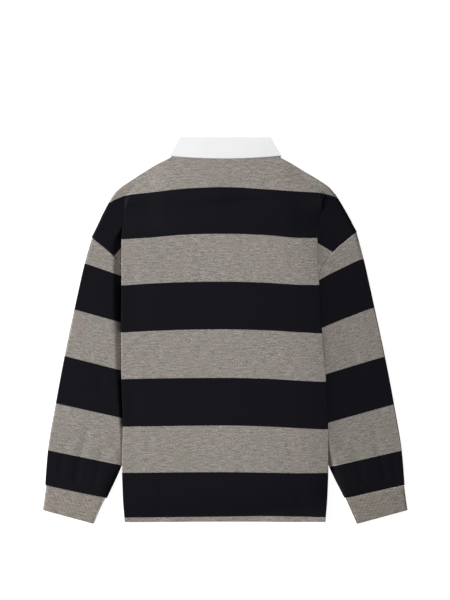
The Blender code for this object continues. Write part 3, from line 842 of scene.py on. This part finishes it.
def make_sleeve(name, side, jersey):
    y0, y1 = side.ys[ARMHOLE_ROW], side.ys[UNDERARM_ROW]
    fine = np.linspace(y0, y1, 200)
    seam = np.column_stack([side.armhole_edge(fine), fine])
    run = lengths_along(seam, 0)
    even = np.linspace(0, 1, SEAM_STATIONS)
    seam = np.column_stack([np.interp(even, run / run[-1], seam[:, k]) for k in (0, 1)])
    step = np.gradient(seam, axis=0)
    step /= np.linalg.norm(step, axis=1)[:, None]
    beyond = np.column_stack([-step[:, 1], step[:, 0]])
    beyond *= np.where(beyond[:, 1:] > 0, -1, 1)
    seam = seam + beyond * GAP
    rings = [(*seam[0], *seam[-1]), *side.sleeve]
    number = np.arange(len(rings))
    ends = [curve(number, [ring[k] for ring in rings]) for k in range(4)]
    stops = []
    for k in range(len(rings) - 1):
        length = math.dist(rings[k][:2], rings[k + 1][:2])
        pieces = parts_of(length, RING_STEP)
        if k == 0:
            pieces = sorted(set(pieces + SEAM_PARTS))
        if k == len(rings) - 2:
            pieces += [1 - d / length for d in SLEEVE_END_STOPS if 1 - d / length > pieces[-1]]
        stops += [k + p for p in pieces]
    stops.append(len(rings) - 1)
    bow = seam - (seam[:1] + (seam[-1:] - seam[:1]) * even[:, None])
    lines = []
    for s in stops:
        ow, oy, iw, iy = (float(end(s)) for end in ends)
        start, stop = np.array((ow, oy)), np.array((iw, iy))
        left = (len(rings) - 1 - s) * math.dist(rings[-1][:2], rings[-2][:2])
        shrink = END_TURN * (1 - float(dome(left / END_TURN)))
        inward = (stop - start) / np.linalg.norm(stop - start)
        start, stop = start + inward * shrink, stop - inward * shrink
        width = start[0] - stop[0]
        crease = float(side.crease((start[1] + stop[1]) / 2))
        parts = crowded(SLEEVE_STATIONS, min((start[0] - crease) / width, 1.3), CREASE_REACH / width)
        bowed = np.column_stack([np.interp(parts, even, bow[:, k]) for k in (0, 1)])
        line = start + (stop - start) * parts[:, None] + bowed * max(0.0, 1 - s) ** 1.5
        lines.append(line * (side.sign, 1))

    def down(w, y):
        return sleeve_stripe(side, w, y) * STRIPE

    return tube(lines, jersey, name, side, side.soft, down, SEAM_ROUND, SLEEVE_END_ROUND)


def make_cuff(name, side, rib):
    parts = crowded(CUFF_STATIONS, 2.0, 0.1)
    table = np.array(side.cuff)
    along = lengths_along(table[:, :2], 0)
    ends = [curve(along, table[:, k]) for k in range(4)]
    even = np.linspace(EDGE_STOPS[-1], along[-1] - EDGE_STOPS[-1], 20)
    stops = np.concatenate([CUFF_STARTS, even, along[-1] - np.array(CUFF_ENDS)])
    lines = []
    for s in stops:
        ow, oy, iw, iy = (float(end(s)) for end in ends)
        line = np.array((ow, oy)) + (np.array((iw, iy)) - (ow, oy)) * parts[:, None]
        lines.append(line * (side.sign, 1))
    first = table[0]
    across = (first[2:] - first[:2]) / math.dist(first[2:], first[:2])

    def soft(w, y):
        rise = CUFF_LOFT
        for columns in (slice(0, 2), slice(2, 4)):
            rise = rise * dome(distance_to(table[:, columns], w, y) / CUFF_SIDE_REACH)
        near_seam = dome(distance_to((first[:2], first[2:]), w, y) / CUFF_SEAM_REACH)
        return rise * (CUFF_LOFT_AT_SEAM + (1 - CUFF_LOFT_AT_SEAM) * near_seam)

    def down(w, y):
        return (y - first[1]) * across[0] - (w - first[0]) * across[1]

    return tube(lines, rib, name, side, soft, down, SEAM_ROUND, CUFF_END_ROUND)


# ---- collar


def collar_half_width(y):
    slope = (COLLAR_EDGE_HALF - COLLAR_TOP_HALF) / (COLLAR_EDGE_Y - COLLAR_TOP_Y)
    return COLLAR_TOP_HALF + slope * (y - COLLAR_TOP_Y) - PITCH / 2 - PITCH - WALL / 2


def collar_profile(seam_y, top_y, edge_y):
    """The stand and the fall as a line of (y, distance from the neck's middle level), seam to edge."""
    radius = PITCH / 2
    bend_y = top_y - WALL / 2 - radius
    stand = np.linspace(0, 1, STAND_STEPS + 1)[:-1]
    points = [(seam_y + (bend_y - seam_y) * t, radius) for t in stand]
    for angle in np.linspace(0, math.pi, BEND_STEPS):
        points.append((bend_y + radius * math.sin(angle), radius + radius * (1 - math.cos(angle))))
    fall = bend_y - edge_y
    stops = [t * (fall - FALL_FINE) for t in np.linspace(0, 1, 12)[1:]] + [fall - d for d in FALL_STOPS]
    return np.array(points + [(bend_y - d, 3 * radius) for d in stops])


def make_collar(twill):
    middle = FLOOR_PAIR + PITCH
    parts = 1 - np.linspace(0, 1, 31) ** 2.1
    turns = np.linspace(0, 180, 13)[1:-1]
    half = [(p, 0.0) for p in parts[::-1]] + [(1.0, a) for a in turns] + [(p, 180.0) for p in parts]
    stations = [(-1, *station) for station in half[::-1]] + [(1, *station) for station in half[1:]]
    profile = collar_profile(NECK_Y + 2 * GAP, COLLAR_TOP_Y, COLLAR_EDGE_Y)
    widened = (1 - COLLAR_WRAP) * (2 * PITCH - PITCH / 2 + WALL / 2)
    halves = np.array([NECK_HALF, *(collar_half_width(y) + widened for y, reach in profile[1:])])
    even = np.linspace(0, 1, STAND_STEPS + 1)
    halves[: STAND_STEPS + 1] = NECK_HALF + (halves[STAND_STEPS] - NECK_HALF) * even
    outer, inner, uvs = [], [], []
    for side, part, angle in stations:
        depth = math.sqrt(max(0.0, 1 - part * part))
        front = angle == 180.0
        if front:
            seam_y = NECK_Y + 2 * GAP - float(front_neck_drop(part * NECK_HALF))
            top_y = COLLAR_TOP_Y - (COLLAR_TOP_Y - COLLAR_FRONT_TOP_Y) * depth
            edge_y = COLLAR_POINT[1] + (COLLAR_EDGE_Y - COLLAR_POINT[1]) * part**COLLAR_SPREAD
        else:
            seam_y = NECK_Y + 2 * GAP - float(back_neck_drop(part * NECK_HALF))
            top_y = COLLAR_TOP_Y
            edge_y = COLLAR_MIDDLE_Y + (COLLAR_EDGE_Y - COLLAR_MIDDLE_Y) * part**2
        line = collar_profile(seam_y, top_y, edge_y)
        along = lengths_along(line, 0)
        if not front and angle == 0:
            t = np.clip((along - along[FALL_START]) / (along[-1] - along[FALL_START]), 0, 1)
            line[:, 1] += FALL_BOW * np.sin(np.pi * t**0.8) + FALL_LIFT * t
        tangent = np.gradient(line, axis=0)
        tangent /= np.linalg.norm(tangent, axis=1)[:, None]
        normal = np.column_stack([-tangent[:, 1], tangent[:, 0]])
        from_edge = along[-1] - along
        wall = edge_round(from_edge) * edge_round(along)
        channel = STITCH_DEPTH * np.exp(-(((from_edge - STITCH_PLACE) / STITCH_HALF) ** 2))
        away = WALL / 2 - WALL * (1 - wall) / 2
        for grid, distance in ((outer, away - channel * (not front)), (inner, -away)):
            column = []
            places = line + normal * distance[:, None]
            for k, (y, reach) in enumerate(places):
                w = part * halves[k]
                if front:
                    w = max(w, 2 * GAP)
                    towards_edge = max(0.0, (k - FALL_START) / (len(line) - 1 - FALL_START))
                    w += (COLLAR_POINT[0] - COLLAR_POINT[0] * part) * towards_edge
                turned = math.radians(angle)
                x = side * (w + COLLAR_WRAP * reach * math.sin(turned))
                column.append((x, y, middle + reach * math.cos(turned)))
            grid.append(column)
        uvs.append(np.column_stack([along, along]) * MM)
    outer, inner, uvs = np.array(outer), np.array(inner), np.array(uvs)
    around = lengths_along(outer, 0)[:, STAND_STEPS + 2]
    uvs[..., 0] = ((around - around[-1] / 2) * MM)[:, None]
    return make_shell("collar_cloth", outer, inner, uvs, twill)


# ---- finishes


class Cloth:
    """A material in cloth coordinates, with short names for making its nodes."""

    def __init__(self, name):
        self.material = bpy.data.materials.new(name)
        self.material.use_nodes = True
        self.tree = self.material.node_tree
        self.shader = self.tree.nodes["Principled BSDF"]
        self.place = self.new("ShaderNodeUVMap", uv_map="cloth").outputs[0]
        self.u, self.v = self.new("ShaderNodeSeparateXYZ", {0: self.place}).outputs[:2]

    def new(self, kind, inputs=(), **settings):
        node = self.tree.nodes.new(kind)
        for key, value in settings.items():
            setattr(node, key, value)
        for key, value in dict(inputs).items():
            if isinstance(value, bpy.types.NodeSocket):
                self.tree.links.new(value, node.inputs[key])
            else:
                node.inputs[key].default_value = value
        return node

    def math(self, operation, a, b=0.0):
        return self.new("ShaderNodeMath", {0: a, 1: b}, operation=operation).outputs[0]

    def add(self, a, b):
        return self.math("ADD", a, b)

    def times(self, a, b):
        return self.math("MULTIPLY", a, b)

    def noise(self, scale, detail=2.0, roughness=0.5, offset=(0, 0, 0)):
        place = self.new("ShaderNodeMapping", {"Vector": self.place, "Scale": scale, "Location": offset})
        facts = {"Vector": place.outputs[0], "Scale": 1.0, "Detail": detail, "Roughness": roughness}
        return self.new("ShaderNodeTexNoise", facts).outputs[0]

    def fuzz(self):
        return self.noise((1500, 1500, 1), 2.0, 0.6, (1, 2, 0))

    def between(self, value, low, high, out_low=0.0, out_high=1.0):
        facts = {0: value, 1: low, 2: high, 3: out_low, 4: out_high}
        return self.new("ShaderNodeMapRange", facts, clamp=True).outputs[0]

    def mix(self, factor, a, b, blend="MIX"):
        a, b = (c if isinstance(c, bpy.types.NodeSocket) else (*c, 1.0) for c in (a, b))
        facts = {0: factor, 6: a, 7: b}
        return self.new("ShaderNodeMix", facts, data_type="RGBA", blend_type=blend).outputs[2]

    def finish(self, color, height, depth, roughness):
        bump = self.new("ShaderNodeBump", {"Height": height, "Distance": depth, "Strength": 1.0})
        sockets = (("Base Color", color), ("Normal", bump.outputs[0]), ("Roughness", roughness))
        for name, value in sockets:
            self.tree.links.new(value, self.shader.inputs[name])
        self.shader.inputs["Specular IOR Level"].default_value = CLOTH_SPECULAR
        return self.material


HEATHER = (0.2590, 0.2376, 0.2162)  # middle of the mélange
HEATHER_DARK = (0.161, 0.147, 0.134)
HEATHER_LIGHT = (0.378, 0.348, 0.319)
RIB_TONE = (0.86, 0.835, 0.81)
ROSE_TINT = (0.278, 0.226, 0.216)
MOSS_TINT = (0.236, 0.234, 0.190)
BLACK = (0.0064, 0.0060, 0.0088)
WHITE = (0.80, 0.80, 0.80)
COOL_WHITE = (0.86, 0.86, 0.87)


# Mélange yarns: scale in cloth coordinates, offset, weight
YARNS = (
    ((62, 330, 1), (0, 0, 0), 0.19),
    ((150, 380, 1), (3.1, 7.7, 0), 0.15),
    ((430, 460, 1), (8.3, 1.7, 0), 0.19),
    ((760, 560, 1), (2.9, 6.1, 0), 0.47),
)
TINT = 0.55  # share of the two tints where they are strongest
CLOTH_SPECULAR = 0.06
JERSEY_WALE, JERSEY_COURSE, RIB_WALE, TWILL_WALE = 0.0013, 0.0011, 0.0026, 0.0009  # metres
JERSEY_BUMP, RIB_BUMP, TWILL_BUMP = 0.00012, 0.00013, 0.00006
FRAY = 0.0006  # of the stripes' edges


def heather(n):
    """Mélange yarn: short dashes along each course, and soft drifts of tint."""
    yarns = [n.times(n.noise(scale, 0.0, 0.5, offset), weight) for scale, offset, weight in YARNS]
    shade = yarns[0]
    for yarn in yarns[1:]:
        shade = n.add(shade, yarn)
    drift = n.noise((22, 30, 1), 2.0, 0.5, (11.3, 2.9, 0))
    dark = n.mix(n.between(shade, 0.40, 0.5), HEATHER_DARK, HEATHER)
    color = n.mix(n.between(shade, 0.5, 0.60), dark, HEATHER_LIGHT)
    color = n.mix(n.times(n.between(drift, 0.52, 0.72), TINT), color, ROSE_TINT)
    return n.mix(n.times(n.between(drift, 0.48, 0.28), TINT), color, MOSS_TINT)


def knit(n):
    """Height of a fine jersey: V-shaped loops in wales."""
    column = n.math("FRACT", n.math("DIVIDE", n.u, JERSEY_WALE))
    ridge = n.math("ABSOLUTE", n.math("SUBTRACT", column, 0.5))
    lean = n.add(n.math("DIVIDE", n.v, JERSEY_COURSE), n.times(ridge, 1.1))
    loop = n.math("SINE", n.times(lean, 2 * math.pi))
    groove = n.math("POWER", n.times(ridge, 2.0), 3.0)
    return n.math("SUBTRACT", n.times(loop, 0.35), groove)


def jersey_material():
    n = Cloth("striped_jersey_knit")
    fray = n.times(n.math("SUBTRACT", n.noise((900, 300, 1), 1.0), 0.5), FRAY)
    band = n.math("FRACT", n.math("DIVIDE", n.add(n.v, fray), 2 * STRIPE * MM))
    light = n.math("GREATER_THAN", band, 0.5)
    fleck = n.noise((300, 800, 1), 2.0, 0.5, (5.5, 1.5, 0))
    dark, pale = ([part * c for c in BLACK] for part in (0.88, 1.16))
    color = n.mix(light, n.mix(n.between(fleck, 0.35, 0.7), dark, pale), heather(n))
    fuzz = n.fuzz()
    height = n.add(n.times(knit(n), 0.6), fuzz)
    return n.finish(color, height, JERSEY_BUMP, n.between(fuzz, 0.2, 0.8, 0.88, 0.96))


def rib_material():
    n = Cloth("cuff_rib_knit")
    column = n.math("SINE", n.times(n.u, 2 * math.pi / RIB_WALE))
    rib = n.times(n.add(column, 1.0), 0.5)
    color = n.mix(1.0, heather(n), RIB_TONE, "MULTIPLY")
    # painted shade: the colour is darkened a little in the rib's grooves, where its height is low
    color = n.mix(n.times(n.math("SUBTRACT", 1.0, rib), 0.05), color, HEATHER_DARK)
    fuzz = n.fuzz()
    height = n.add(rib, n.times(fuzz, 0.5))
    return n.finish(color, height, RIB_BUMP, n.between(fuzz, 0.2, 0.8, 0.88, 0.96))


def twill_material():
    n = Cloth("collar_twill_weave")
    wale = n.math("SINE", n.times(n.add(n.u, n.v), 2 * math.pi / TWILL_WALE))
    yarn = n.noise((2200, 700, 1), 2.0, 0.5)
    drift = n.noise((30, 30, 1), 2.0, 0.5, (4, 4, 0))
    dark, pale = ([part * c for c in WHITE] for part in (0.985, 1.012))
    color = n.mix(n.between(drift, 0.3, 0.7), dark, pale)
    color = n.mix(n.times(n.between(yarn, 0.35, 0.65), 0.05), color, COOL_WHITE)
    height = n.add(n.times(wale, 0.4), yarn)
    return n.finish(color, height, TWILL_BUMP, n.between(yarn, 0.2, 0.8, 0.78, 0.88))


def floor_material():
    material = bpy.data.materials.new("studio_floor")
    material.use_nodes = True
    inputs = material.node_tree.nodes["Principled BSDF"].inputs
    grey, white = (0.35, 0.35, 0.35, 1), (1, 1, 1, 1)
    facts = {"Base Color": grey, "Roughness": 1, "Specular IOR Level": 0, "Emission Color": white}
    for name, value in {**facts, "Emission Strength": 0.9}.items():
        inputs[name].default_value = value
    return material


# ---- assembly

SKY_STRENGTH = 0.28
LAMP_PLACE = (-3.5, 0.5, 1.2)
LAMP_SIZE, LAMP_POWER = 1.2, 352.0
CAMERA_PLACE = (-0.0006, 0.0586, 2.72)
CAMERA_LENS, CAMERA_SENSOR = 85, 36
FLOOR_SIZE = 8

# Piece, CAD node, slot, flat size in metres, area in square metres, how it is held, what it rests on
PIECES = (
    ("back_cloth", "back_panel", "striped_jersey", (0.63, 0.72), 0.386, "laid", ["front_cloth"]),
    (
        "front_cloth", "front_panel", "striped_jersey", (0.63, 0.72), 0.367, "laid",
        ["sleeve_left_cloth", "sleeve_right_cloth"],
    ),
    ("placket_cloth", "placket", "striped_jersey", (0.03, 0.17), None, "laid", []),
    ("sleeve_left_cloth", "sleeve_left", "striped_jersey", (0.47, 0.50), 0.137, "laid", []),
    ("sleeve_right_cloth", "sleeve_right", "striped_jersey", (0.47, 0.50), 0.142, "laid", []),
    ("cuff_left_cloth", "cuff_left", "cuff_rib", (0.22, 0.05), None, "laid", []),
    ("cuff_right_cloth", "cuff_right", "cuff_rib", (0.22, 0.05), None, "laid", []),
    ("collar_cloth", "collar", "collar_twill", (0.45, 0.08), 0.032, "folded", ["back_cloth"]),
)


def main():
    jersey, rib = jersey_material(), rib_material()
    things = make_body(jersey)
    for hand, side in (("left", LEFT), ("right", RIGHT)):
        things[f"sleeve_{hand}_cloth"] = make_sleeve(f"sleeve_{hand}_cloth", side, jersey)
        things[f"cuff_{hand}_cloth"] = make_cuff(f"cuff_{hand}_cloth", side, rib)
    things["collar_cloth"] = make_collar(twill_material())
    for name, node, slot, *_ in PIECES:
        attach(things[name], "root")
        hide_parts(node)

    bpy.ops.mesh.primitive_plane_add(size=FLOOR_SIZE)
    floor = bpy.context.object
    floor.name = "studio_floor"
    floor.data.materials.append(floor_material())
    light_and_camera()


def light_and_camera():
    scene = bpy.context.scene
    scene.world = scene.world or bpy.data.worlds.new("studio")
    scene.world.use_nodes = True
    sky = scene.world.node_tree.nodes["Background"]
    sky.inputs[0].default_value = (1, 1, 1, 1)
    sky.inputs[1].default_value = SKY_STRENGTH

    light = bpy.data.lights.new("side_light", "AREA")
    light.shape = "DISK"
    light.size = LAMP_SIZE
    light.energy = LAMP_POWER
    lamp = bpy.data.objects.new("side_light", light)
    lamp.location = LAMP_PLACE
    lamp.visible_camera = False
    lamp.rotation_euler = (-Vector(LAMP_PLACE)).to_track_quat("-Z", "Y").to_euler()
    scene.collection.objects.link(lamp)

    lens = bpy.data.cameras.new("camera")
    lens.lens = CAMERA_LENS
    lens.sensor_width = CAMERA_SENSOR
    camera = bpy.data.objects.new("camera", lens)
    camera.location = CAMERA_PLACE
    scene.collection.objects.link(camera)
    scene.camera = camera
    scene.view_settings.view_transform = "Standard"
    scene.view_settings.look = "None"


main()
